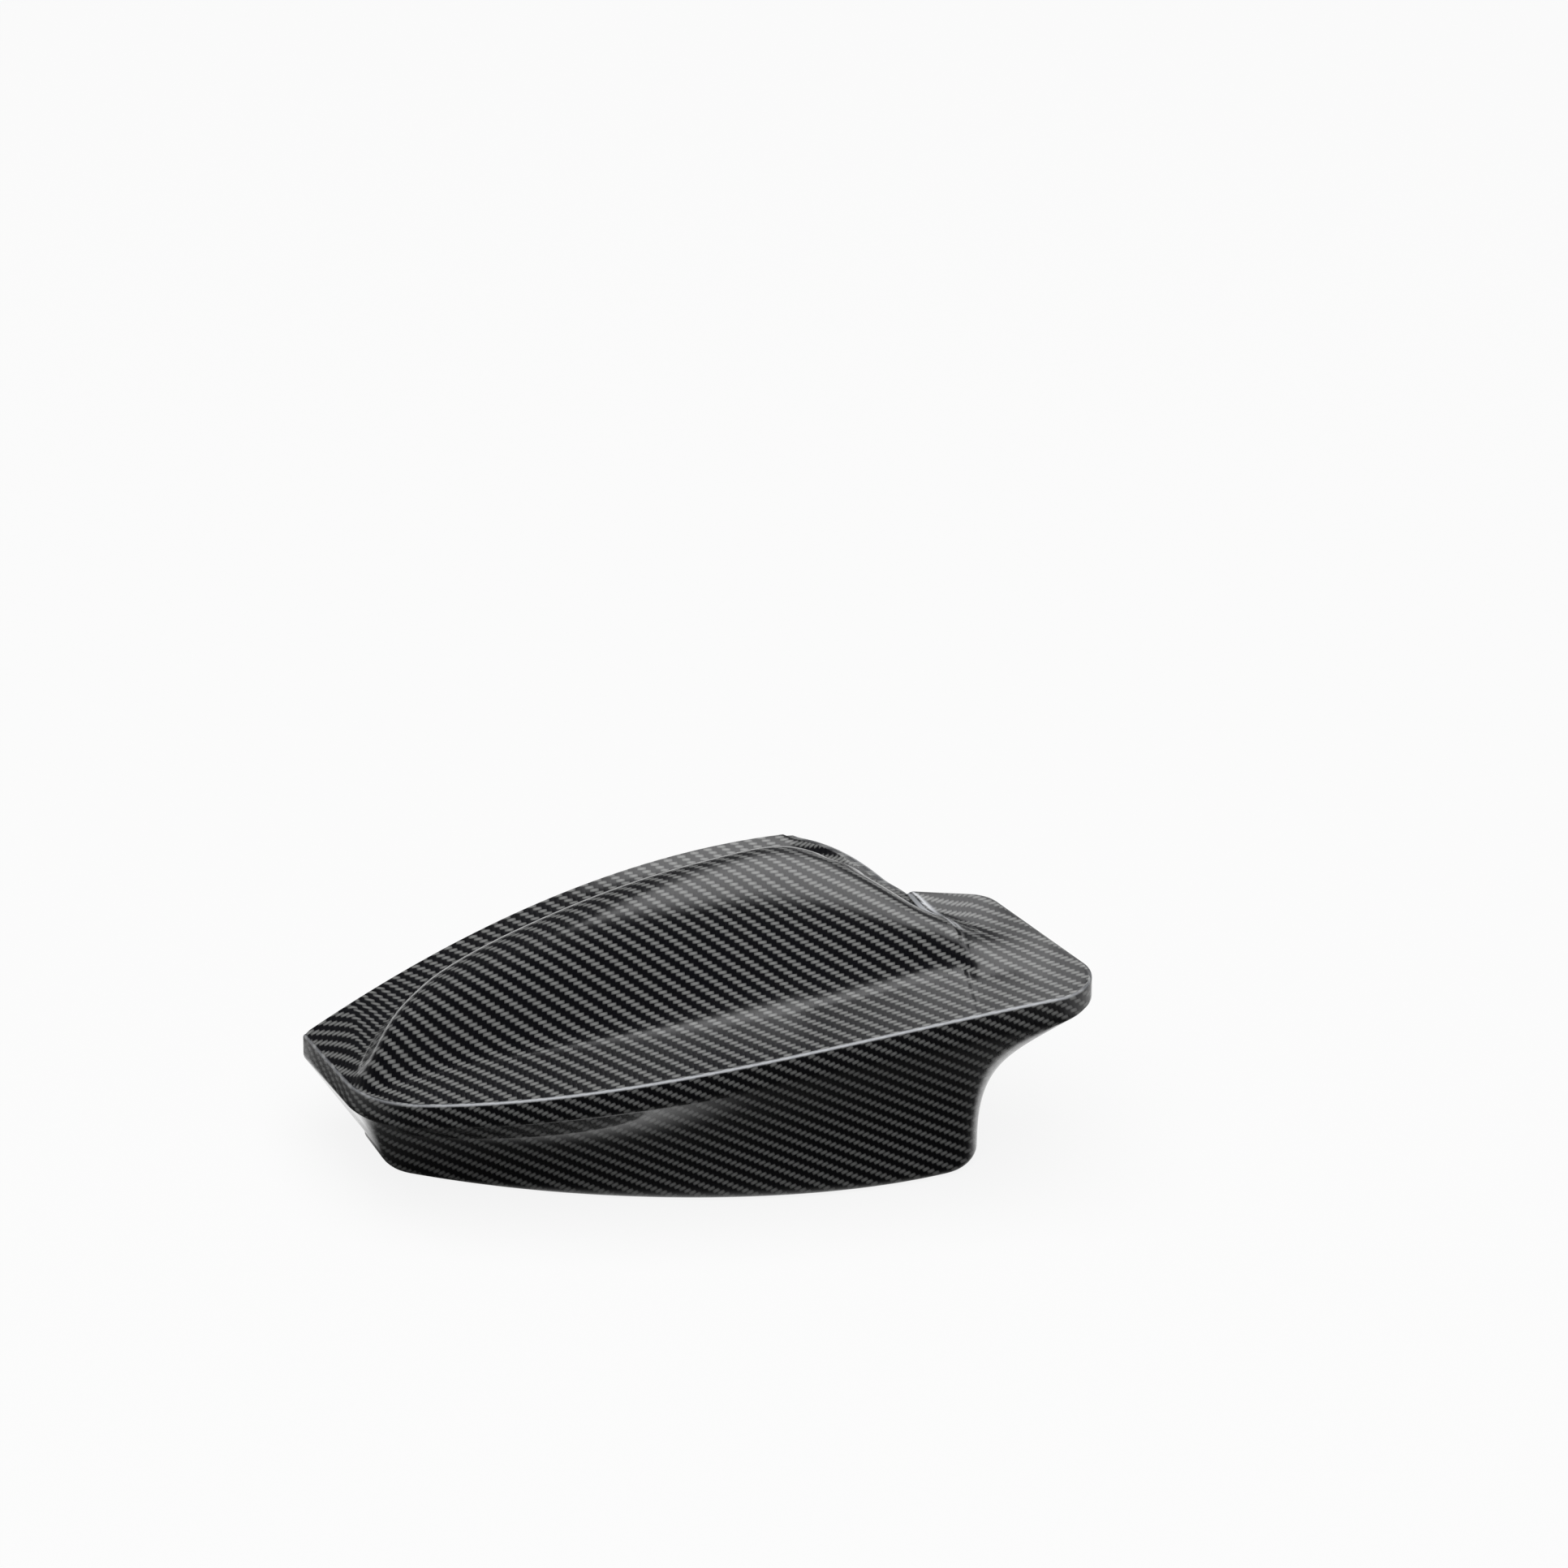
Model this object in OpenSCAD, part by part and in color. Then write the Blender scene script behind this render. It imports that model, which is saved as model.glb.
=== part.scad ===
// Wing mirror cover: a carbon laminate shell with a blade edge and an inboard horn.
// It lies front face up on its rolled rear edge, as it would on a bench.
// X runs inboard towards the horn, Y towards the parting edge, Z up. Millimetres.

/* [Laminate] */
// Thickness of the carbon laminate
wall_t = 2; // [1.6:0.1:2.6]
// Radius of the rounded blade edge
edge_r = 0.9; // [0.6:0.1:1.4]
// Radius of the rounded edge on the inboard side
side_edge_r = 5; // [3:0.5:7]

/* [Blade outline] */
// Outboard tip, where the blade meets the parting edge
tip = [-125.3, -2, 37]; // [-130:1:130]
// Outboard corner, before it is rounded
corner_out = [-104, -53, 46.5]; // [-120:1:120]
// Radius of the outboard corner
corner_out_r = 36; // [24:1:40]
// Horn corner, before it is rounded
corner_horn = [133, -37.5, 81.5]; // [-140:1:140]
// Radius of the horn corner
corner_horn_r = 12; // [8:1:15]
// Heel of the horn, before it is rounded
heel = [92, 20, 76.2]; // [-110:1:110]
// Radius of the heel
heel_r = 12; // [6:1:14]
// Notch where the horn leaves the side wall
notch = [68.4, 22.9, 75.5]; // [-90:1:90]
// Inboard end of the parting edge
root = [33.3, 58.7, 72.5]; // [-80:1:80]
// Run of the long edge as it leaves the outboard corner
lead_out = [64, -12, 9]; // [-90:1:90]
// Run of the long edge as it meets the horn corner
lead_horn = [70, 14, 7]; // [-90:1:90]
// Rise of the side edge between the notch and the root
side_arch = 4.5; // [0:0.5:6]

/* [Bulge] */
// Height added to the parting edge near its outboard end
arch_out = 18; // [12:1:22]
// Height added to the parting edge near its inboard end
arch_in = 20; // [14:1:28]
// Height of the bulge over the plate at mid-length
bulge_h = 22.5; // [16:0.5:28]
// Height of the bulge over the plate near the outboard end
bulge_out_h = 17; // [12:0.5:20]
// Height of the bulge over the plate beside the notch
bulge_horn_h = 11.5; // [8:0.5:14]
// Depth of the step between the side of the bulge and the horn
step_h = 2.4; // [1.5:0.1:3.5]
// Width of the step in plan
step_w = 2.2; // [1.6:0.1:3]
// Point where the step runs out on the horn
step_tip = [81.6, -9]; // [-100:1:100]

/* [Walls] */
// Height of the rim under the blade edge
rim_h = 8.6; // [7:0.2:11]
// Height of the rim at the heel of the horn
heel_rim_h = 5; // [4:0.5:8]
// Height of the rim at the notch
notch_rim_h = 12; // [9:0.5:14]
// Outboard end of the rear edge
base_tip = [-106, -10.5]; // [-120:1:120]
// Outboard corner of the rear edge, before it is rounded
base_out = [-98, -27.5]; // [-110:1:110]
// Inboard corner of the rear edge, before it is rounded
base_in = [102, -20.5]; // [-120:1:120]
// Inboard end of the rear edge, at the tail
base_root = [15.2, 50.9]; // [-60:1:60]
// Radius of the corners of the rear edge
base_r = 14; // [10:1:18]
// Bow of the long side of the rear edge
base_bow = 18; // [12:1:22]
// Radius of the rolled rear edge
roll_r = 5; // [4:0.5:7]

/* [Parting lip] */
// Depth of the joggle behind the parting edge
joggle = 1.8; // [1.2:0.1:2.4]
// Width of the lip past the joggle
lip_w = 7; // [6:0.5:10]
// Slope of the lip below the level
lip_slope = 55; // [45:1:65]
// Share of the parting edge at which the locating tab stands
tab_at = 0.9; // [0.8:0.01:0.93]
// Width of the tab at its root
tab_w = 6; // [4:0.5:8]
// Depth of the tab past the lip
tab_d = 4; // [3:0.5:5]

/* [Side clip] */
// Width of the clip bonded inside the side wall
clip_w = 9; // [7:0.5:11]
// Height of the side clip
clip_h = 24; // [20:1:28]
// Thickness of its plate and cheeks
clip_t = 1.5; // [1.2:0.1:2]
// Reach of its cheeks from the plate
clip_reach = 6; // [5:0.5:7]
// Width of its spring tongue
tongue_w = 4; // [3:0.2:5]

/* [Retaining clips] */
// Diameter of the hole that takes a peg of the mirror housing
peg_d = 4.2; // [3:0.2:5]
// Wall of the peg socket
socket_t = 2; // [1.5:0.1:2.5]
// Height of the peg socket
socket_h = 10; // [8:0.5:14]
// Width of the pad bonded to the wall
pad_w = 16; // [12:1:20]
// Height of the pad
pad_h = 16; // [12:1:18]
// Thickness of the pad
pad_t = 1.8; // [1.4:0.1:2.4]
// Gap between a clip and the wall, filled by its adhesive
bond_gap = 0.35; // [0.2:0.05:0.5]

/* [Hidden] */

// Curves
function lerp(a, b, t) = a + (b - a) * t;
function unit(v) = v / norm(v);
function clamp01(t) = min(max(t, 0), 1);
function smooth(t) = let (s = clamp01(t)) s * s * (3 - 2 * s);
function bezier(a, b, c, d, t) =
    let (s = 1 - t) a * s * s * s + b * 3 * s * s * t + c * 3 * s * t * t + d * t * t * t;

// Distance from a corner to the points where its rounding starts
function round_off(a, b, r) = r * tan(acos(a * b) / 2);

// Arc that rounds the corner p between the unit directions a and b
function corner_arc(p, a, b, r, steps) =
    let (turn = acos(a * b), inward = unit(b - a * (a * b)))
    let (start = p - a * round_off(a, b, r), centre = start + inward * r)
    [for (i = [0 : steps]) let (w = turn * i / steps) centre - inward * r * cos(w) + a * r * sin(w)];

// Running length at each point of a path
function running(path, i = 0, sum = 0, out = []) =
    i == len(path) ? out
    : let (next = i == 0 ? 0 : sum + norm(path[i] - path[i - 1]))
      running(path, i + 1, next, concat(out, [next]));

// One lookup table for each coordinate, against a key
function tables(path, key) =
    [for (c = [0 : len(path[0]) - 1]) [for (i = [0 : len(path) - 1]) [key[i], path[i][c]]]];
function at(tabs, s) = [for (c = [0 : len(tabs) - 1]) lookup(s, tabs[c])];

// Smooth value through the stations of a table, whose first column is x
function station(x, t, col) =
    let (last = len(t) - 1, xs = [for (r = t) r[0]])
    x <= xs[0] ? t[0][col] : x >= xs[last] ? t[last][col]
    : let (i = max([for (n = [0 : last - 1]) if (xs[n] <= x) n]))
      let (h = xs[i + 1] - xs[i], s = (x - xs[i]) / h)
      let (m0 = slope_at(t, i, col) * h, m1 = slope_at(t, i + 1, col) * h)
      let (s2 = s * s, s3 = s2 * s)
      t[i][col] * (2 * s3 - 3 * s2 + 1) + m0 * (s3 - 2 * s2 + s)
      + t[i + 1][col] * (3 * s2 - 2 * s3) + m1 * (s3 - s2);
function slope_at(t, i, col) =
    let (a = max(i - 1, 0), b = min(i + 1, len(t) - 1))
    (t[b][col] - t[a][col]) / (t[b][0] - t[a][0]);

// Blade outline, from the tip round the long edge and the horn to the root
arc_steps = 10;
long_steps = 24;
dir_tip = unit(corner_out - tip);
dir_out = unit(lead_out);
dir_horn = unit(lead_horn);
dir_heel = unit(heel - corner_horn);
dir_notch = unit(notch - heel);
long_start = corner_out + dir_out * round_off(dir_tip, dir_out, corner_out_r);
long_end = corner_horn - dir_horn * round_off(dir_horn, dir_heel, corner_horn_r);
arc_out = corner_arc(corner_out, dir_tip, dir_out, corner_out_r, arc_steps);
arc_horn = corner_arc(corner_horn, dir_horn, dir_heel, corner_horn_r, arc_steps);
arc_heel = corner_arc(heel, dir_heel, dir_notch, heel_r, arc_steps);
long_edge = [for (i = [1 : long_steps - 1])
    bezier(long_start, long_start + lead_out, long_end - lead_horn, long_end, i / long_steps)];
side_dir = unit([root[0] - notch[0], root[1] - notch[1], 0]);
body_notch = notch + side_dir * step_w - [0, 0, step_h];
side_steps = 6;
side_edge = [for (i = [1 : side_steps - 1]) let (t = i / side_steps)
    lerp(body_notch, root, t) + [0, 0, side_arch * 4 * t * (1 - t)]];
blade = concat([tip], arc_out, long_edge, arc_horn, arc_heel, [notch, body_notch], side_edge, [root]);
blade_run = running(blade);
blade_tabs = tables(blade, blade_run);
run_out = blade_run[1 + arc_steps / 2];
run_horn = blade_run[1 + arc_steps + long_steps + arc_steps / 2];
run_heel = blade_run[2 + 2 * arc_steps + long_steps + arc_steps / 2];
run_notch = blade_run[len(blade) - 2 - side_steps];
run_side = blade_run[len(blade) - 1 - side_steps];
run_root = blade_run[len(blade) - 1];
horn_share = 0.83;
run_split = lerp(run_out, run_horn, horn_share);

// Rear edge, in plan
base_dir_a = unit(base_out - base_tip);
base_pull_out = 60;
base_pull_in = 43;
base_lead = [base_pull_out, -base_bow];
base_lead_in = [base_pull_in, base_bow - 1];
base_dir_b = unit(base_lead);
base_dir_c = unit(base_lead_in);
base_dir_d = unit(base_root - base_in);
base_start = base_out + base_dir_b * round_off(base_dir_a, base_dir_b, base_r);
base_end = base_in - base_dir_c * round_off(base_dir_c, base_dir_d, base_r);
base = concat([base_tip], corner_arc(base_out, base_dir_a, base_dir_b, base_r, arc_steps),
    [for (i = [1 : long_steps - 1])
        bezier(base_start, base_start + base_lead, base_end - base_lead_in, base_end, i / long_steps)],
    corner_arc(base_in, base_dir_c, base_dir_d, base_r, arc_steps), [base_root]);
base_run = running(base);
base_tabs = tables(base, base_run);
base_total = base_run[len(base) - 1];
base_mid_out = base_run[1 + arc_steps / 2];
base_corner_in = base_run[1 + arc_steps + long_steps];
// Runs on the rear edge: short of its inboard corner, past the corner to the notch, and under the step
under_split = 4;
under_notch = 26;
under_step = 1;
base_under_notch = base_run[1 + arc_steps * 2 + long_steps] + under_notch;
base_at = [[0, 0], [run_out, base_mid_out], [run_split, base_corner_in - under_split],
    [run_notch, base_under_notch - under_step], [run_side, base_under_notch], [run_root, base_total]];

// Parting edge
function parting(t) = let (p = lerp(tip, root, t))
    [p[0], p[1], p[2] + 3 * (1 - t) * (1 - t) * t * arch_out + 3 * (1 - t) * t * t * arch_in];
parting_steps = 20;
far_side = concat([for (i = [0 : parting_steps]) parting(i / parting_steps)], [notch],
    [for (i = [arc_steps : -1 : 0]) arc_heel[arc_steps - i]],
    [for (i = [arc_steps : -1 : arc_steps / 2]) arc_horn[i]]);
near_side = concat([tip], arc_out, long_edge, [for (i = [0 : arc_steps / 2]) arc_horn[i]]);
far_tabs = tables(far_side, [for (p = far_side) p[0]]);
near_tabs = tables(near_side, [for (p = near_side) p[0]]);

// Sections of the bulge: x, far foot y, crest y, height over the plate, near foot y
sections = [
    [-114, -36, -42, 0, -48],
    [-107, -32, -40, bulge_out_h * 0.06, -47],
    [-101, -19, -35, bulge_out_h * 0.54, -46],
    [-96, -10, -30, bulge_out_h * 0.79, -45],
    [-82, 4, -21.5, bulge_out_h, -42],
    [-50, 19, -11, bulge_h * 0.91, -39.5],
    [4, 40, 7, bulge_h, -36],
    [30, 48, 14, bulge_h, -33.5],
    [45, 39, 9, bulge_h * 0.86, -31],
    [58, 27, 1, bulge_h * 0.68, -27.5],
    [68, 18, -5.5, bulge_horn_h, -24],
    [78, 10, -8, bulge_horn_h * 0.72, -21],
    [92, 2, -14, bulge_horn_h * 0.2, -26],
    [110, 0, -22, 0, -34]];

ridge_power = 2.4;
function ridge(s) = let (t = 1 - pow(clamp01(s), ridge_power)) t * t;
function plate_z(x, y) =
    let (near = at(near_tabs, x), far = at(far_tabs, x), span = far[1] - near[1])
    abs(span) < 0.5 ? near[2] : lerp(near[2], far[2], clamp01((y - near[1]) / span));
function bulge(x, y) =
    let (crest = station(x, sections, 2), h = station(x, sections, 3))
    let (foot = y > crest ? station(x, sections, 1) : station(x, sections, 4))
    h * ridge((y - crest) / (foot - crest));

// How far the side of the bulge drops below the horn at a point of the body: the drop fades over a
// width on each side of the step, and over a short run past the notch
step_fade = 10;
step_run_off = 0.5;
function step_drop(x, y) =
    let (a = [body_notch[0], body_notch[1]], run = step_tip - a, n = unit([run[1], -run[0]]))
    let (t = (([x, y] - a) * run) / (run * run), off = abs(([x, y] - a) * n))
    step_h * (1 - smooth(off / step_fade)) * (1 - smooth(t <= 0 ? -t / step_run_off : t));
function face_z(x, y, body) = plate_z(x, y) + bulge(x, y) - (body ? step_drop(x, y) : 0);

// Grid of the face: columns run inboard, rows run from the parting edge to the blade
body_cols = 34;
horn_cols = 10;
rows = 20;
notch_row = 8;
tip_row = 14;
tab_cols = [for (s = [-1, -0.75, 0.75, 1]) tab_at + s * tab_w / 2 / norm(root - tip)];
plain_count = body_cols - len(tab_cols);
crowding = 1.3;
col_gap = 0.01;
plain_cols = [for (i = [0 : plain_count]) pow(i / plain_count, crowding)];
before_tab = [for (u = plain_cols) if (u < tab_cols[0] - col_gap) u];
after_tab = [for (u = plain_cols) if (u > tab_cols[3] + col_gap) u];
col_u = concat(before_tab, tab_cols, after_tab);
body_last = len(col_u) - 1;
last_col = body_last + 1 + horn_cols;

// Stations round the blade: run along the blade outline, then grid column and row
stations = concat(
    [for (j = [0 : rows]) [lerp(0, run_out, j / rows), 0, j]],
    [for (i = [1 : body_last]) [lerp(run_out, run_split, col_u[i]), i, rows]],
    [for (i = [0 : horn_cols]) [lerp(run_split + step_w, run_horn, i / horn_cols), body_last + 1 + i, rows]],
    [for (j = [rows - 1 : -1 : notch_row])
        [lerp(run_heel, run_horn, (j - notch_row) / (rows - notch_row)), last_col, j]],
    [for (i = [horn_cols - 1 : -1 : 0])
        [lerp(run_notch, run_heel, i / horn_cols), body_last + 1 + i, notch_row]],
    [for (j = [notch_row : -1 : 0]) [lerp(run_root, run_side, j / notch_row), body_last, j]]);
last_station = len(stations) - 1;

// Outward direction of a path in plan, turned into the plane of the cut at the two ends
cut_dir = unit([root[0] - tip[0], root[1] - tip[1]]);
tangent_reach = 0.8;
function outward(tabs, s, total) =
    let (a = at(tabs, max(s - tangent_reach, 0)), b = at(tabs, min(s + tangent_reach, total)))
    let (t = unit([b[0] - a[0], b[1] - a[1]]), n = [t[1], -t[0]])
    let (d = s <= 0 ? -cut_dir : s >= total ? cut_dir : n) d / (d * n);

// How the wall draws in below the rim, by run along the blade: the share of the way in and of the
// drop at its upper pull, then at its lower pull
wall_form = [
    [0, 0.33, 0.33, 0.67, 0.67],
    [run_out, 0.46, 0.34, 0.8, 0.62],
    [lerp(run_out, run_horn, 0.25), 0.62, 0.36, 1, 0.58],
    [lerp(run_out, run_horn, 0.5), 0.68, 0.37, 1, 0.55],
    [run_horn, 0.66, 0.38, 1, 0.5],
    [run_notch, 0.6, 0.36, 1, 0.55],
    [run_root, 0.45, 0.34, 0.85, 0.62]];

// Rows of the wall: the rounded blade edge and the rim, the skirt, and the rolled rear edge
round_rows = 2;
rim_rows = round_rows + 1;
skirt_rows = 7;
roll_rows = 3;
wall_rows = rim_rows + skirt_rows + roll_rows;
quarter_turn = 90;
least_r = 0.25;

// Run past the notch where the side edge starts to widen, and the run over which it does
side_from = 2;
side_ease = 12;

rim_at = [[0, rim_h], [run_horn, rim_h], [run_heel, heel_rim_h], [run_notch, notch_rim_h],
    [run_side, notch_rim_h], [run_root, rim_h]];

// Point of the wall by run along the blade: depth 0 is the outside, wall_t the inside
function wall_point(k, row, depth) = wall_at(stations[k][0], row, depth);
function wall_at(s, row, depth) =
    let (e = at(blade_tabs, s), n = outward(blade_tabs, s, run_root))
    let (side = smooth((s - run_notch - side_from) / side_ease))
    let (r = max(lerp(edge_r, side_edge_r, side) - depth, least_r))
    let (x = e[0] - n[0] * depth, y = e[1] - n[1] * depth, z = e[2] - depth)
    row < rim_rows ? let (w = quarter_turn * row / round_rows)
        [x - n[0] * r * (1 - sin(w)), y - n[1] * r * (1 - sin(w)), z - r * (1 - cos(w))]
    : let (b = lookup(s, base_at), q = at(base_tabs, b), m = outward(base_tabs, b, base_total))
      let (bx = q[0] - m[0] * depth, by = q[1] - m[1] * depth)
      let (zr = e[2] - lookup(s, rim_at) + depth * 0.5, drop = zr - roll_r)
      let (f = [for (col = [1 : 4]) station(s, wall_form, col)])
      row <= rim_rows + skirt_rows ? bezier([x, y, zr],
            [lerp(x, bx, f[0]), lerp(y, by, f[0]), zr - drop * f[1]],
            [lerp(x, bx, f[2]), lerp(y, by, f[2]), zr - drop * f[3]],
            [bx, by, roll_r], (row - rim_rows) / skirt_rows)
      : let (w = quarter_turn * (row - rim_rows - skirt_rows) / roll_rows, rr = roll_r - depth)
        [q[0] - m[0] * (roll_r - rr * cos(w)), q[1] - m[1] * (roll_r - rr * cos(w)), roll_r - rr * sin(w)];

// Plan position of the face grid, blended from its four edges
notch_v = 0.39;
tip_v = 0.68;
function row_v(j) = lookup(j, [[0, 0], [notch_row, notch_v], [tip_row, tip_v], [rows, 1]]);
function flat(p) = [p[0], p[1]];
cut_out = [-cut_dir[1], cut_dir[0]];
end_ease = 12;
far_inset = 1.3;
function far_point(u, depth) = lerp(edge_xy(0, depth), edge_xy(last_station, depth), u)
    - cut_out * depth * far_inset * clamp01(min(u, 1 - u) * end_ease);
near_first = rows;
near_body_last = rows + body_last;
near_last = near_body_last + 1 + horn_cols;
heel_station = near_last + rows - notch_row;
notch_station = heel_station + horn_cols;
body_notch_station = notch_station + 1;

// The strip of the step keeps its width down to its tip
tip_gap = [step_w * 0.95, step_w * 0.3];
function edge_xy(k, depth) = flat(wall_point(k, 0, depth));
function split_line(j, depth, shift) =
    let (top = edge_xy(shift == 0 ? body_notch_station : notch_station, depth))
    let (low = edge_xy(near_body_last + (shift == 0 ? 0 : 1), depth))
    let (mid = step_tip + tip_gap * shift)
    j <= tip_row ? lerp(top, mid, (j - notch_row) / (tip_row - notch_row))
    : lerp(mid, low, (j - tip_row) / (rows - tip_row));
function coons(f, g, l, r, f0, f1, g0, g1, u, v) =
    lerp(f, g, v) + lerp(l, r, u) - lerp(lerp(f0, f1, u), lerp(g0, g1, u), v);
function body_xy(i, j, depth) =
    let (u = col_u[i], v = row_v(j))
    let (r = j <= notch_row ? edge_xy(last_station - j, depth) : split_line(j, depth, 0))
    coons(far_point(u, depth), edge_xy(near_first + i, depth), edge_xy(j, depth), r,
        edge_xy(0, depth), edge_xy(last_station, depth), edge_xy(near_first, depth),
        edge_xy(near_body_last, depth), u, v);
function horn_xy(i, j, depth) =
    let (u = i / horn_cols, v = (j - notch_row) / (rows - notch_row))
    coons(edge_xy(notch_station - i, depth), edge_xy(near_body_last + 1 + i, depth),
        split_line(j, depth, 1), edge_xy(heel_station - (j - notch_row), depth),
        edge_xy(notch_station, depth), edge_xy(heel_station, depth),
        edge_xy(near_body_last + 1, depth), edge_xy(near_last, depth), u, v);

// Height of the face, and the share by which a slope thickens the laminate upright
slope_reach = 0.5;
most_thick = 1.7;
function face_point(xy, depth, body) =
    let (z = face_z(xy[0], xy[1], body), d = slope_reach)
    let (gx = (face_z(xy[0] + d, xy[1], body) - z) / d, gy = (face_z(xy[0], xy[1] + d, body) - z) / d)
    [xy[0], xy[1], z - depth * min(sqrt(1 + gx * gx + gy * gy), most_thick)];

// Lip behind the parting edge, with the locating tab
parting_out = [cut_out[0], cut_out[1], 0];
function parting_point(u) =
    let (xy = far_point(u, 0), p = parting((xy[0] - tip[0]) / (root[0] - tip[0]))) [xy[0], xy[1], p[2]];
joggle_in = 0.6;
joggle_lean = 0.6;
hem_share = 0.8;
lip_slip = 1.5;
function tab_share(i) = col_u[i] == tab_cols[1] || col_u[i] == tab_cols[2] ? 1 : 0;
function lip_point(i, m, depth) =
    let (p = parting_point(col_u[i]), slip = i == 0 ? unit(root - tip) * lip_slip * m : [0, 0, 0])
    let (run = lip_w + tab_d * tab_share(i), hem = depth * hem_share)
    slip + (m == 1
        ? p - parting_out * (joggle_in + depth * joggle_lean) - [0, 0, joggle + depth]
        : p + parting_out * (run * cos(lip_slope) - hem * sin(lip_slope))
            - [0, 0, joggle + run * sin(lip_slope) + hem * cos(lip_slope)]);

function sheet(depth) = concat(
    [for (j = [0 : rows]) for (i = [0 : body_last])
        j == rows || i == 0 || (i == body_last && j <= notch_row)
            ? wall_point(i == 0 ? j : j == rows ? near_first + i : last_station - j, 0, depth)
            : face_point(body_xy(i, j, depth), depth, true)],
    [for (j = [notch_row : rows]) for (i = [0 : horn_cols])
        j == rows ? wall_point(near_body_last + 1 + i, 0, depth)
        : i == horn_cols ? wall_point(heel_station - (j - notch_row), 0, depth)
        : j == notch_row ? wall_point(notch_station - i, 0, depth)
        : face_point(horn_xy(i, j, depth), depth, false)],
    [for (row = [1 : wall_rows]) for (k = [0 : last_station]) wall_point(k, row, depth)],
    [for (m = [1, 2]) for (i = [0 : body_last]) lip_point(i, m, depth)]);

// Numbering of the points of one sheet
body_count = (rows + 1) * (body_last + 1);
horn_count = (rows - notch_row + 1) * (horn_cols + 1);
wall_first = body_count + horn_count;
lip_first = wall_first + wall_rows * (last_station + 1);
sheet_count = lip_first + 2 * (body_last + 1);
function face_id(i, j) = i <= body_last ? j * (body_last + 1) + i
    : body_count + (j - notch_row) * (horn_cols + 1) + i - body_last - 1;
function wall_id(k, row) = row == 0 ? face_id(stations[k][1], stations[k][2])
    : wall_first + (row - 1) * (last_station + 1) + k;
function lip_id(i, m) = m == 0 ? face_id(i, 0) : lip_first + (m - 1) * (body_last + 1) + i;

quads = concat(
    [for (j = [0 : rows - 1]) for (i = [0 : (j < notch_row ? body_last : last_col) - 1])
        [face_id(i, j), face_id(i + 1, j), face_id(i + 1, j + 1), face_id(i, j + 1)]],
    [for (k = [0 : last_station - 1]) for (row = [0 : wall_rows - 1])
        [wall_id(k, row), wall_id(k + 1, row), wall_id(k + 1, row + 1), wall_id(k, row + 1)]],
    [for (i = [0 : body_last - 1]) for (m = [0, 1])
        [lip_id(i, m), lip_id(i, m + 1), lip_id(i + 1, m + 1), lip_id(i + 1, m)]]);
rim_loop = concat([for (i = [0 : body_last]) lip_id(i, 2)], [lip_id(body_last, 1)],
    [for (row = [0 : wall_rows]) wall_id(last_station, row)],
    [for (k = [last_station - 1 : -1 : 0]) wall_id(k, wall_rows)],
    [for (row = [wall_rows - 1 : -1 : 0]) wall_id(0, row)], [lip_id(0, 1)]);
function halves(q, p) = norm(p[q[0]] - p[q[2]]) < norm(p[q[1]] - p[q[3]])
    ? [[q[0], q[1], q[2]], [q[0], q[2], q[3]]] : [[q[0], q[1], q[3]], [q[1], q[2], q[3]]];
function turned(t) = [t[2] + sheet_count, t[1] + sheet_count, t[0] + sheet_count];

// The origin is the middle of the shell in plan, on the surface that it lies on
outer = sheet(0);
function middle(c) = (max([for (p = outer) p[c]]) + min([for (p = outer) p[c]])) / 2;
module centred() translate([-middle(0), -middle(1), 0]) children();

module carbon_shell() {
    points = concat(outer, sheet(wall_t));
    outer_faces = [for (q = quads) each halves(q, points)];
    loop_len = len(rim_loop);
    hem = [for (n = [0 : loop_len - 1])
        let (a = rim_loop[n], b = rim_loop[(n + 1) % loop_len])
        each halves([b, a, a + sheet_count, b + sheet_count], points)];
    color([0.13, 0.13, 0.14]) centred()
        polyhedron(points, concat(outer_faces, [for (t = outer_faces) turned(t)], hem));
}

// Place on the inside of the wall: a point off it, the way along, the way in and the way up
function wall_place(s, row, gap) =
    let (along = wall_at(s + 1, row, wall_t) - wall_at(s - 1, row, wall_t))
    let (rise = wall_at(s, row - 0.5, wall_t) - wall_at(s, row + 0.5, wall_t))
    let (in = unit(cross(rise, along)), up = unit([0, 0, 1] - in * in[2]))
    [wall_at(s, row, wall_t) + in * gap, cross(in, up), in, up];

// Clip bonded inside the side wall by the cut, with a barbed spring tongue between two cheeks
side_clip_row = 6;
side_clip_back = 7;
cheek_inset = 2;
tongue_gap = 0.8;
tongue_t = 1.4;
barb = 2;
cheek_h = 0.6 * clip_h;
catch_z = 0.62 * clip_h;
module clip_profile(width, outline)
    translate([-width / 2, 0, 0]) rotate([90, 0, 90]) linear_extrude(width) polygon(outline);
module cheek() clip_profile(clip_t, [[clip_t / 2, cheek_inset], [clip_reach - barb, cheek_inset],
    [clip_reach, cheek_inset + barb], [clip_reach, cheek_h], [clip_t / 2, clip_h - cheek_inset]]);
module tongue() {
    back = clip_t + tongue_gap;
    front = back + tongue_t;
    clip_profile(tongue_w, [[clip_t / 2, cheek_inset], [front, cheek_inset], [front, catch_z],
        [front + barb, catch_z], [front + barb, catch_z + tongue_t], [front, clip_h - cheek_inset],
        [back, clip_h - cheek_inset], [back, cheek_inset + tongue_t], [clip_t / 2, cheek_inset + tongue_t]]);
}
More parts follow.
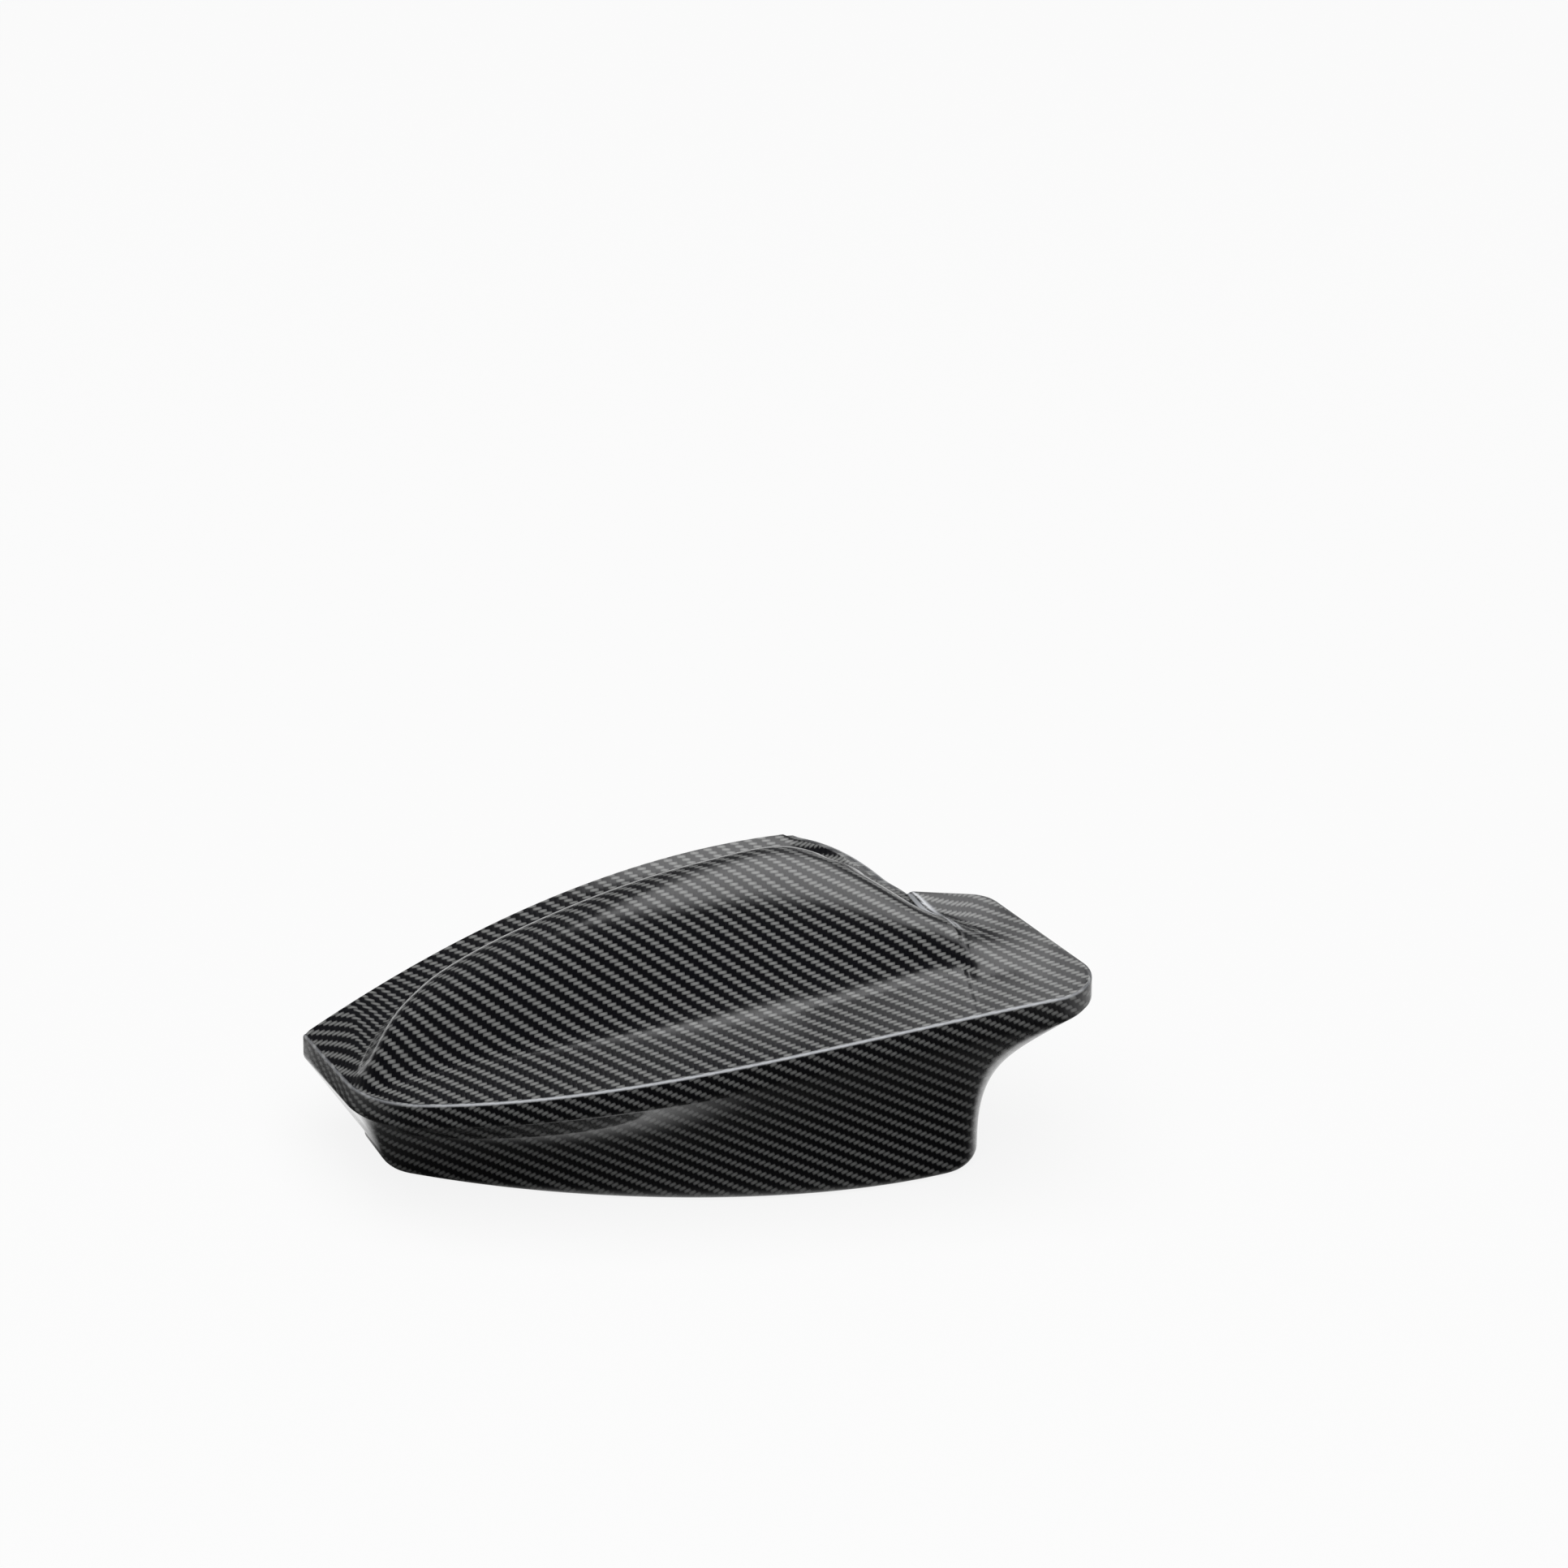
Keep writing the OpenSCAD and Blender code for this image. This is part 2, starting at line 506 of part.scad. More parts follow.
module side_clip() {
    place = wall_place(run_root - side_clip_back, side_clip_row, bond_gap);
    color([0.05, 0.05, 0.055]) centred()
        multmatrix([for (r = [0 : 2]) [place[1][r], place[2][r], place[3][r], place[0][r]]])
            translate([0, 0, -clip_h / 2]) {
                translate([-clip_w / 2, 0, 0]) cube([clip_w, clip_t, clip_h]);
                for (side = [-1, 1]) translate([side * (clip_w - clip_t) / 2, 0, 0]) cheek();
                tongue();
            }
}

// Clips bonded inside the rear skirt: each is a pad with a ribbed socket for a peg
clip_shares = [0.27, 0.52, 0.77];
pad_row = 8.5;
socket_d = peg_d + 2 * socket_t;
socket_off = 1.2;
socket_rise = 2;
socket_y = pad_t + socket_off + socket_d / 2;
socket_z = socket_rise - pad_h / 2;
mouth_flare = 1.2;
mouth_d = peg_d + mouth_flare;
mouth_h = 0.8;
rib_t = 1.6;
rib_inset = 0.4;
rib_x = socket_d / 2 - rib_t / 2 - rib_inset;
pad_corner = 3;
past = 1;
module pad() rotate([90, 0, 0]) translate([0, -pad_h / 2, -pad_t]) linear_extrude(pad_t) {
    translate([-pad_w / 2, pad_corner]) square([pad_w, pad_h - 2 * pad_corner]);
    translate([-pad_w / 2 + pad_corner, 0]) square([pad_w - 2 * pad_corner, pad_h]);
    for (x = [-1, 1])
        for (z = [pad_corner, pad_h - pad_corner])
            translate([x * (pad_w / 2 - pad_corner), z]) circle(pad_corner, $fn = 48);
}
module retaining_clip(lean) difference() {
    union() {
        rotate([lean, 0, 0]) pad();
        translate([0, socket_y, socket_z]) cylinder(h = socket_h, d = socket_d, $fn = 64);
        for (side = [-1, 1])
            translate([side * rib_x - rib_t / 2, pad_t / 2, socket_z])
                cube([rib_t, socket_y - pad_t / 2, socket_h]);
    }
    translate([0, socket_y, socket_z - past]) cylinder(h = socket_h + 2 * past, d = peg_d, $fn = 64);
    translate([0, socket_y, socket_z]) cylinder(h = mouth_h, d1 = mouth_d, d2 = peg_d, $fn = 64);
}
module retaining_clips() {
    color([0.05, 0.05, 0.055]) centred()
        for (share = clip_shares) {
            place = wall_place(lerp(run_out, run_split, share), pad_row, bond_gap);
            in = place[2];
            translate(place[0]) rotate([0, 0, atan2(in[1], in[0]) - 90]) retaining_clip(asin(in[2]));
        }
}

carbon_shell();
side_clip();
retaining_clips();
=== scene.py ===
# A wing mirror cover of lacquered twill carbon, lying face up on its rolled rear edge.
import math

import bmesh
import bpy
import numpy as np
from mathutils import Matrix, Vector


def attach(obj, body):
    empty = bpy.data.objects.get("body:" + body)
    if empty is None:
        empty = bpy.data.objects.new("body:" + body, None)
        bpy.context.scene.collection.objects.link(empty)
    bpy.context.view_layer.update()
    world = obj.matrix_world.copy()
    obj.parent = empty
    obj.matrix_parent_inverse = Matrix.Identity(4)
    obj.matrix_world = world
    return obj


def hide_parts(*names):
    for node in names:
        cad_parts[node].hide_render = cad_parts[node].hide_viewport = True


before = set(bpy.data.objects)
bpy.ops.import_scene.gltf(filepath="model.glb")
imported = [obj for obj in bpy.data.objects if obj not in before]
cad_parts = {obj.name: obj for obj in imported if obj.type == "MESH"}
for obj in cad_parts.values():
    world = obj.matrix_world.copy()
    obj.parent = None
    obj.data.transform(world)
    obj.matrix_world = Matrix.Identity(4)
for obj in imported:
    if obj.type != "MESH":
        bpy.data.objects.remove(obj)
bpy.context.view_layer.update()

# The laminate shell.
# One moulded sheet of 2 x 2 twill carbon, 2 mm thick: a bulged face with a flat blade edge round it,
# an inboard horn, walls that draw in to a rolled rear edge, and a joggled lip behind the parting edge.
MM = 0.001
wall_t = 2.0
edge_r, side_edge_r, roll_r = 0.9, 5.0, 5.0
tip, root = np.array([-125.3, -2.0, 37.0]), np.array([33.3, 58.7, 72.5])
corner_out, corner_out_r = np.array([-104.0, -53.0, 46.5]), 36.0
corner_horn, corner_horn_r = np.array([133.0, -37.5, 81.5]), 12.0
heel, heel_r, notch = np.array([92.0, 20.0, 76.2]), 12.0, np.array([68.4, 22.9, 75.5])
lead_out, lead_horn = np.array([64.0, -12.0, 9.0]), np.array([70.0, 14.0, 7.0])
side_arch, arch_out, arch_in = 4.5, 18.0, 20.0
bulge_h, bulge_out_h, bulge_horn_h = 22.5, 17.0, 11.5
ridge_power = 2.4
step_h, step_w, step_tip = 2.4, 2.2, np.array([81.6, -9.0])
step_fade, step_run_off, horn_share = 10.0, 0.5, 0.83
tip_gap = np.array([step_w * 0.95, step_w * 0.3])
notch_v, tip_v = 0.39, 0.68
rim_h, heel_rim_h, notch_rim_h = 8.6, 5.0, 12.0
base_tip, base_out = np.array([-106.0, -10.5]), np.array([-98.0, -27.5])
base_in, base_root = np.array([102.0, -20.5]), np.array([15.2, 50.9])
base_r, base_bow, base_pull_out, base_pull_in = 14.0, 18.0, 60.0, 43.0
under_split, under_notch, under_step = 4, 26, 1
side_from, side_ease, least_r = 2, 12, 0.25
far_inset, end_ease = 1.3, 12
tangent_reach, slope_reach, most_thick = 0.8, 0.5, 1.7
joggle, joggle_in, joggle_lean = 1.8, 0.6, 0.6
lip_w, lip_slope, lip_slip, hem_share = 7.0, math.radians(55), 1.5, 0.8
tab_at, tab_w, tab_d = 0.9, 6.0, 4.0
arc_steps, long_steps, parting_steps = 40, 200, 120
# Keeps the visual shell just inside the solid.
inset = 0.9995


def unit(v):
    return v / np.linalg.norm(v)


def lerp(a, b, t):
    return a + (b - a) * t


def smooth(t):
    t = np.clip(t, 0, 1)
    return t * t * (3 - 2 * t)


def bezier(a, b, c, d, t):
    s = 1 - t
    return a * s**3 + b * 3 * s * s * t + c * 3 * s * t * t + d * t**3


def round_off(a, b, r):
    return r * math.tan(math.acos(a @ b) / 2)


def corner_arc(p, a, b, r):
    turn = math.acos(a @ b)
    inward = unit(b - a * (a @ b))
    centre = p - a * round_off(a, b, r) + inward * r
    w = np.linspace(0, turn, arc_steps + 1)[:, None]
    return centre - inward * r * np.cos(w) + a * r * np.sin(w)


def running(path):
    return np.concatenate([[0], np.cumsum(np.linalg.norm(np.diff(path, axis=0), axis=1))])


def at(path, run, s):
    return np.stack([np.interp(s, run, path[:, c]) for c in range(path.shape[1])], -1)


def through(x, table, col):
    """Smooth value through the stations of a table, whose first column is x."""
    t = np.asarray(table, float)
    xs, ys = t[:, 0], t[:, col]
    x = np.clip(x, xs[0], xs[-1])
    last = len(xs) - 1
    low, high = np.maximum(np.arange(last + 1) - 1, 0), np.minimum(np.arange(last + 1) + 1, last)
    slope = (ys[high] - ys[low]) / (xs[high] - xs[low])
    i = np.clip(np.searchsorted(xs, x, side="right") - 1, 0, last - 1)
    h = xs[i + 1] - xs[i]
    s = (x - xs[i]) / h
    return (ys[i] * (2 * s**3 - 3 * s**2 + 1) + slope[i] * h * (s**3 - 2 * s**2 + s)
            + ys[i + 1] * (3 * s**2 - 2 * s**3) + slope[i + 1] * h * (s**3 - s**2))


# The blade outline runs from the tip round the long edge and the horn to the root.
dir_tip, dir_out, dir_horn = unit(corner_out - tip), unit(lead_out), unit(lead_horn)
dir_heel, dir_notch = unit(heel - corner_horn), unit(notch - heel)
long_start = corner_out + dir_out * round_off(dir_tip, dir_out, corner_out_r)
long_end = corner_horn - dir_horn * round_off(dir_horn, dir_heel, corner_horn_r)
inner_steps = np.linspace(0, 1, long_steps + 1)[1:-1, None]
long_edge = bezier(long_start, long_start + lead_out, long_end - lead_horn, long_end, inner_steps)
side_dir = unit(np.array([root[0] - notch[0], root[1] - notch[1], 0]))
body_notch = notch + side_dir * step_w - np.array([0, 0, step_h])
side_t = np.linspace(0, 1, arc_steps + 1)[1:-1, None]
side_edge = lerp(body_notch, root, side_t) + np.array([0, 0, side_arch]) * 4 * side_t * (1 - side_t)
arc_out = corner_arc(corner_out, dir_tip, dir_out, corner_out_r)
arc_horn = corner_arc(corner_horn, dir_horn, dir_heel, corner_horn_r)
arc_heel = corner_arc(heel, dir_heel, dir_notch, heel_r)
blade = np.vstack([tip, arc_out, long_edge, arc_horn, arc_heel, notch, body_notch, side_edge, root])
blade_run = running(blade)
run_out = blade_run[1 + arc_steps // 2]
run_horn = blade_run[1 + arc_steps + long_steps + arc_steps // 2]
run_heel = blade_run[2 + 2 * arc_steps + long_steps + arc_steps // 2]
run_notch = blade_run[len(blade) - 3 - len(side_edge)]
run_side = blade_run[len(blade) - 2 - len(side_edge)]
run_root = blade_run[-1]
run_split = lerp(run_out, run_horn, horn_share)

# The rear edge in plan, and the place on it that each place on the blade draws in to.
base_lead = np.array([base_pull_out, -base_bow])
base_lead_in = np.array([base_pull_in, base_bow - 1])
base_dirs = [unit(base_out - base_tip), unit(base_lead), unit(base_lead_in), unit(base_root - base_in)]
base_start = base_out + base_dirs[1] * round_off(base_dirs[0], base_dirs[1], base_r)
base_end = base_in - base_dirs[2] * round_off(base_dirs[2], base_dirs[3], base_r)
base = np.vstack([
    base_tip, corner_arc(base_out, base_dirs[0], base_dirs[1], base_r),
    bezier(base_start, base_start + base_lead, base_end - base_lead_in, base_end, inner_steps),
    corner_arc(base_in, base_dirs[2], base_dirs[3], base_r), base_root])
base_run = running(base)
base_corner_in = base_run[1 + arc_steps + long_steps]
base_under_notch = base_run[1 + arc_steps * 2 + long_steps] + under_notch
base_at = [
    [0, 0], [run_out, base_run[1 + arc_steps // 2]], [run_split, base_corner_in - under_split],
    [run_notch, base_under_notch - under_step], [run_side, base_under_notch], [run_root, base_run[-1]]]

# How the wall draws in below the rim, by run along the blade: the share of the way in and of the way
# down at its upper point, and the same at its lower one.
wall_form = [
    [0, 0.33, 0.33, 0.67, 0.67], [run_out, 0.46, 0.34, 0.8, 0.62],
    [lerp(run_out, run_horn, 0.25), 0.62, 0.36, 1, 0.58],
    [lerp(run_out, run_horn, 0.5), 0.68, 0.37, 1, 0.55],
    [run_horn, 0.66, 0.38, 1, 0.5], [run_notch, 0.6, 0.36, 1, 0.55], [run_root, 0.45, 0.34, 0.85, 0.62]]
rim_at = [
    [0, rim_h], [run_horn, rim_h], [run_heel, heel_rim_h], [run_notch, notch_rim_h],
    [run_side, notch_rim_h], [run_root, rim_h]]
cut_dir = unit(root[:2] - tip[:2])
cut_out = np.array([-cut_dir[1], cut_dir[0]])
EDGE_ROWS, SKIRT_ROWS, ROLL_ROWS = 3, 7, 3


def outward(path, run, s):
    """Outward direction of a path in plan, turned into the plane of the cut at its two ends."""
    total = run[-1]
    ahead, back = np.minimum(s + tangent_reach, total), np.maximum(s - tangent_reach, 0)
    t = at(path[:, :2], run, ahead) - at(path[:, :2], run, back)
    t /= np.linalg.norm(t, axis=-1, keepdims=True)
    n = np.stack([t[..., 1], -t[..., 0]], -1)
    d = np.where((s <= 0)[..., None], -cut_dir, np.where((s >= total)[..., None], cut_dir, n))
    return d / np.sum(d * n, -1, keepdims=True)


def wall_at(s, row, depth):
    """Point of the wall by run along the blade and row down the wall, on the sheet at a depth."""
    s, row = np.broadcast_arrays(np.asarray(s, float), np.asarray(row, float))
    e, n = at(blade, blade_run, s), outward(blade, blade_run, s)
    side = smooth((s - run_notch - side_from) / side_ease)
    r = np.maximum(lerp(edge_r, side_edge_r, side) - depth, least_r)
    x, y, z = e[..., 0] - n[..., 0] * depth, e[..., 1] - n[..., 1] * depth, e[..., 2] - depth
    w = np.radians(45 * np.minimum(row, 2))
    set_in = r * (1 - np.sin(w))
    fillet = np.stack([x - n[..., 0] * set_in, y - n[..., 1] * set_in, z - r * (1 - np.cos(w))], -1)
    b = through(s, base_at, 1)
    q, m = at(base, base_run, b), outward(base, base_run, b)
    zr = e[..., 2] - through(s, rim_at, 1) + depth * 0.5
    drop = zr - roll_r
    bx, by = q[..., 0] - m[..., 0] * depth, q[..., 1] - m[..., 1] * depth
    f = [through(s, wall_form, c) for c in (1, 2, 3, 4)]
    rim = np.stack([x, y, zr], -1)
    upper = np.stack([lerp(x, bx, f[0]), lerp(y, by, f[0]), zr - drop * f[1]], -1)
    lower = np.stack([lerp(x, bx, f[2]), lerp(y, by, f[2]), zr - drop * f[3]], -1)
    foot = np.stack([bx, by, np.full_like(bx, roll_r)], -1)
    t = np.clip((row - EDGE_ROWS) / SKIRT_ROWS, 0, 1)[..., None]
    skirt = bezier(rim, upper, lower, foot, t)
    w = np.radians(90) * np.clip((row - EDGE_ROWS - SKIRT_ROWS) / ROLL_ROWS, 0, 1)
    rr = roll_r - depth
    reach = roll_r - rr * np.cos(w)
    roll_x, roll_y = q[..., 0] - m[..., 0] * reach, q[..., 1] - m[..., 1] * reach
    roll = np.stack([roll_x, roll_y, roll_r - rr * np.sin(w)], -1)
    below_fillet = np.clip(row - 2, 0, 1)[..., None]
    upper_rows = np.where((row > 2)[..., None], lerp(fillet, rim, below_fillet), fillet)
    lower_rows = np.where((row > EDGE_ROWS + SKIRT_ROWS)[..., None], roll, skirt)
    return np.where((row <= EDGE_ROWS)[..., None], upper_rows, lower_rows)


# Heights of the plate come from its far side and its near side, each looked up by x.
def parting_z(x):
    t = (x - tip[0]) / (root[0] - tip[0])
    return lerp(tip[2], root[2], t) + 3 * (1 - t) ** 2 * t * arch_out + 3 * (1 - t) * t * t * arch_in


parting_t = np.linspace(0, 1, parting_steps + 1)[:, None]
parting_edge = lerp(tip, root, parting_t)
parting_edge[:, 2] = parting_z(parting_edge[:, 0])
far_side = np.vstack([parting_edge, notch, arc_heel[::-1], arc_horn[arc_steps // 2:][::-1]])
near_side = np.vstack([tip, arc_out, long_edge, arc_horn[:arc_steps // 2 + 1]])
far_side[:, 0] = np.maximum.accumulate(far_side[:, 0])
near_side[:, 0] = np.maximum.accumulate(near_side[:, 0])


def plate_z(x, y):
    near_y, near_z = [np.interp(x, near_side[:, 0], near_side[:, c]) for c in (1, 2)]
    far_y, far_z = [np.interp(x, far_side[:, 0], far_side[:, c]) for c in (1, 2)]
    return lerp(near_z, far_z, np.clip((y - near_y) / np.maximum(far_y - near_y, 0.5), 0, 1))


# The bulge stands on the plate: x, far foot y, crest y, height over the plate, near foot y.
sections = [
    [-114, -36, -42, 0, -48],
    [-107, -32, -40, bulge_out_h * 0.06, -47],
    [-101, -19, -35, bulge_out_h * 0.54, -46],
    [-96, -10, -30, bulge_out_h * 0.79, -45],
    [-82, 4, -21.5, bulge_out_h, -42],
    [-50, 19, -11, bulge_h * 0.91, -39.5],
    [4, 40, 7, bulge_h, -36],
    [30, 48, 14, bulge_h, -33.5],
    [45, 39, 9, bulge_h * 0.86, -31],
    [58, 27, 1, bulge_h * 0.68, -27.5],
    [68, 18, -5.5, bulge_horn_h, -24],
    [78, 10, -8, bulge_horn_h * 0.72, -21],
    [92, 2, -14, bulge_horn_h * 0.2, -26],
    [110, 0, -22, 0, -34]]


def bulge(x, y):
    crest, h = through(x, sections, 2), through(x, sections, 3)
    foot = np.where(y > crest, through(x, sections, 1), through(x, sections, 4))
    return h * (1 - np.clip((y - crest) / (foot - crest), 0, 1) ** ridge_power) ** 2


def step_drop(x, y):
    """How far the side of the bulge drops below the horn at a point of the body."""
    a = body_notch[:2]
    run = step_tip - a
    n = unit(np.array([run[1], -run[0]]))
    dx, dy = x - a[0], y - a[1]
    t, off = (dx * run[0] + dy * run[1]) / (run @ run), np.abs(dx * n[0] + dy * n[1])
    fade = step_h * (1 - smooth(off / step_fade))
    return np.where(t <= 0, fade * (1 - smooth(-t / step_run_off)), fade * (1 - smooth(t)))


# The face is blended in plan from its four edges, and takes its height from the plate, the bulge and
# the step.
FACE_ROWS, NOTCH_ROW, TIP_ROW = 20, 8, 14


def face_z(x, y, body):
    return plate_z(x, y) + bulge(x, y) - (step_drop(x, y) if body else 0)


def face_points(xy, depth, body):
    x, y, d = xy[..., 0], xy[..., 1], slope_reach
    z = face_z(x, y, body)
    gx, gy = (face_z(x + d, y, body) - z) / d, (face_z(x, y + d, body) - z) / d
    thick = depth * np.minimum(np.sqrt(1 + gx * gx + gy * gy), most_thick)
    return np.concatenate([xy, (z - thick)[..., None]], -1)


def far_xy(u, depth):
    ends = wall_at(np.array([0.0, run_root]), 0, depth)
    inner = depth * far_inset * np.clip(np.minimum(u, 1 - u) * end_ease, 0, 1)
    return lerp(ends[0, :2], ends[1, :2], np.asarray(u)[..., None]) - cut_out * inner[..., None]


def row_v(j):
    return np.interp(j, [0, NOTCH_ROW, TIP_ROW, FACE_ROWS], [0, notch_v, tip_v, 1])


def split_xy(j, depth, horn):
    top = wall_at(run_notch if horn else run_side, 0, depth)[..., :2]
    low = wall_at(run_split + (step_w if horn else 0), 0, depth)[..., :2]
    mid = step_tip + (tip_gap if horn else 0)
    j = np.asarray(j, float)[..., None]
    return np.where(j <= TIP_ROW, lerp(top, mid, (j - NOTCH_ROW) / (TIP_ROW - NOTCH_ROW)),
                    lerp(mid, low, (j - TIP_ROW) / (FACE_ROWS - TIP_ROW)))


def coons(far, near, left, right, u, v):
    """Blend of four edges of a grid, each given at every place of the grid."""
    u, v = u[..., None], v[..., None]
    corners = lerp(lerp(far[0, 0], far[0, -1], u), lerp(near[-1, 0], near[-1, -1], u), v)
    return lerp(far, near, v) + lerp(left, right, u) - corners


def held(points, edge, sides):
    """Brings a face to its edges: the edges take their own heights, and the difference fades inwards."""
    fade_passes, fade_share, calm_passes = 60, 0.245, 6
    off = np.zeros(points.shape[:2])
    keep = np.zeros(points.shape[:2], bool)
    for side in sides:
        off[side], keep[side] = edge[side][..., 2] - points[side][..., 2], True
        points[side] = edge[side]
    border = keep.copy()
    border[0], border[-1], border[:, 0], border[:, -1] = True, True, True, True
    fade = off.copy()
    for _ in range(fade_passes):
        spread = np.pad(fade, 1, mode="edge")
        spread = fade_share * (spread[2:, 1:-1] + spread[:-2, 1:-1] + spread[1:-1, 2:] + spread[1:-1, :-2])
        fade = np.where(border, off, spread)
    points[..., 2] += np.where(border, 0, fade)
    for _ in range(calm_passes):
        z = points[..., 2]
        points[1:-1, 1:-1, 2] = 0.25 * (z[2:, 1:-1] + z[:-2, 1:-1] + z[1:-1, 2:] + z[1:-1, :-2])
    return points


def body_points(u, v, depth):
    """Points of the body of the cover: u runs along the parting edge, v towards the long edge."""
    j = v * FACE_ROWS
    side = wall_at(lerp(run_root, run_side, np.minimum(j / NOTCH_ROW, 1)), 0, depth)
    split = split_xy(np.maximum(j, NOTCH_ROW), depth, False)
    right = np.where((j <= NOTCH_ROW)[..., None], side[..., :2], split)
    near, left = wall_at(lerp(run_out, run_split, u), 0, depth), wall_at(run_out * v, 0, depth)
    xy = coons(far_xy(u, depth), near[..., :2], left[..., :2], right, u, row_v(j))
    points = face_points(xy, depth, True)
    edge = np.where((v == 1)[..., None], near, np.where((u == 0)[..., None], left, side))
    last_side = int(np.sum(j[:, -1] <= NOTCH_ROW + 1e-6))
    return held(points, edge, [np.s_[-1, :], np.s_[:, 0], np.s_[:last_side, -1]])


def horn_points(u, v, depth):
    """Points of the horn: u runs inboard from the step, v from the back edge to the long edge."""
    j = lerp(NOTCH_ROW, FACE_ROWS, v)
    back = wall_at(lerp(run_notch, run_heel, u), 0, depth)
    near = wall_at(lerp(run_split + step_w, run_horn, u), 0, depth)
    right = wall_at(lerp(run_heel, run_horn, v), 0, depth)
    xy = coons(back[..., :2], near[..., :2], split_xy(j, depth, True), right[..., :2], u, v)
    points = face_points(xy, depth, False)
    edge = np.where((v == 1)[..., None], near, np.where((v == 0)[..., None], back, right))
    return held(points, edge, [np.s_[-1, :], np.s_[0, :], np.s_[:, -1]])


def step_points(u, v, depth):
    """Points of the strip between body and horn, which is the face of the step."""
    body = body_points(*shape_of(body_columns, face_rows), depth)[-1 - step_rows:, -1][:, None]
    horn = horn_points(*shape_of(horn_columns, step_rows), depth)[:, 0][:, None]
    out = lerp(body, horn, u[..., None])
    out[..., 2] = lerp(body[..., 2], horn[..., 2], smooth(u))
    top = wall_at(lerp(run_side, run_notch, u[0]), 0, depth) - out[0]
    low = wall_at(lerp(run_split, run_split + step_w, u[0]), 0, depth) - out[-1]
    return out + top * np.clip(1 - v * 8, 0, 1)[..., None] + low * np.clip(v * 8 - 7, 0, 1)[..., None]


def lip_point(u, m, depth):
    """Point of the lip: m is 0 at the parting edge, 1 past the joggle and 2 at the lip's edge."""
    p = far_xy(u, 0)
    p = np.concatenate([p, parting_z(p[..., 0])[..., None]], -1)
    down, out = np.array([0, 0, -1.0]), np.append(cut_out, 0)
    span = np.linalg.norm(root - tip)
    tab_ease, slip_ease = tab_w / 8, 30
    tab = np.clip((tab_w / 2 - np.abs(u - tab_at) * span) / tab_ease, 0, 1)
    run = (lip_w + tab_d * tab)[..., None]
    slip = unit(root - tip) * lip_slip * (1 - np.clip(u * slip_ease, 0, 1))[..., None]
    first = p - out * (joggle_in + depth * joggle_lean) + down * (joggle + depth) + slip
    hem = depth * hem_share
    last = (p + out * (run * math.cos(lip_slope) - hem * math.sin(lip_slope))
            + down * (joggle + run * math.sin(lip_slope) + hem * math.cos(lip_slope)) + slip * 2)
    m = m[..., None]
    top = body_points(*shape_of(body_columns, face_rows), depth)[0][None]
    return np.where(m <= 1, lerp(top, first, m), lerp(first, last, np.clip(m - 1, 0, 1)))


# The cloth is laid with its tows a few degrees off the cover's own axes. On the face it is measured
# along the surface, by tables with a place for each millimetre, and its tows lie closer together up the
# flank of the bulge, where it is drawn tight. On the walls it is laid square to the front.
tow = 1.48
cloth_turn = math.radians(5.2)
tightening, tight_from, tight_ease = 0.24, 0.18, 0.2
broad_passes, climb_passes = 250, 30
VIEW_TILT = math.radians(35.5)
cloth_x, cloth_y, cloth_start = 150, 100, 30


def plain_height(x, y):
    """Height of the face over any place in plan, for measuring the cloth along it."""
    middle, rise, tip_fall, tip_from, tip_ease = 60, 0.13, 12, -60, 70
    return middle + rise * x - tip_fall * smooth((tip_from - x) / tip_ease) + bulge(x, y)


places_x, places_y = np.arange(-cloth_x, cloth_x + 1.0), np.arange(-cloth_y, cloth_y + 1.0)
grid_x, grid_y = np.meshgrid(places_x, places_y, indexing="ij")


def softened(table, passes):
    """The table after a number of small averages, so that it keeps only its broad shape."""
    for _ in range(passes):
        t = np.pad(table, 1, mode="edge")
        table = 0.25 * (t[2:, 1:-1] + t[:-2, 1:-1] + t[1:-1, 2:] + t[1:-1, :-2])
    return table


turned_x = grid_x * math.cos(cloth_turn) - grid_y * math.sin(cloth_turn)
turned_y = grid_x * math.sin(cloth_turn) + grid_y * math.cos(cloth_turn)
height = plain_height(turned_x, turned_y)
across = np.cumsum(np.sqrt(1 + np.gradient(softened(height, broad_passes), axis=0) ** 2), axis=0)
climb = np.gradient(softened(height, climb_passes), axis=1)
drawn = 1 - tightening * smooth((climb - tight_from) / tight_ease)
along = np.cumsum(np.sqrt(1 + climb ** 2) / drawn, axis=1)
length_a, length_b = across - across[[cloth_x]], along - along[:, [cloth_start]]


def bilinear(table, x, y):
    just_short = 0.01
    x = np.clip(x + cloth_x, 0, 2 * cloth_x - just_short)
    y = np.clip(y + cloth_y, 0, 2 * cloth_y - just_short)
    i, j = x.astype(int), y.astype(int)
    fx, fy = x - i, y - j
    return ((table[i, j] * (1 - fx) + table[i + 1, j] * fx) * (1 - fy)
            + (table[i, j + 1] * (1 - fx) + table[i + 1, j + 1] * fx) * fy)


def face_cloth(p):
    x = p[..., 0] * math.cos(cloth_turn) + p[..., 1] * math.sin(cloth_turn)
    y = -p[..., 0] * math.sin(cloth_turn) + p[..., 1] * math.cos(cloth_turn)
    return np.stack([bilinear(length_a, x, y), -bilinear(length_b, x, y)], -1) / tow


wall_tow_a, wall_tow_b = np.array([1.104, 0.478]), np.array([0.468, -1.104])


def end_share(s):
    """How far a place on the wall belongs to one of the ends: 0 on the long side and 1 at the ends."""
    out_before, out_ease, horn_before, horn_ease = 30, 45, 12, 20
    return np.maximum(1 - smooth((s - run_out + out_before) / out_ease),
                      smooth((s - run_horn + horn_before) / horn_ease))


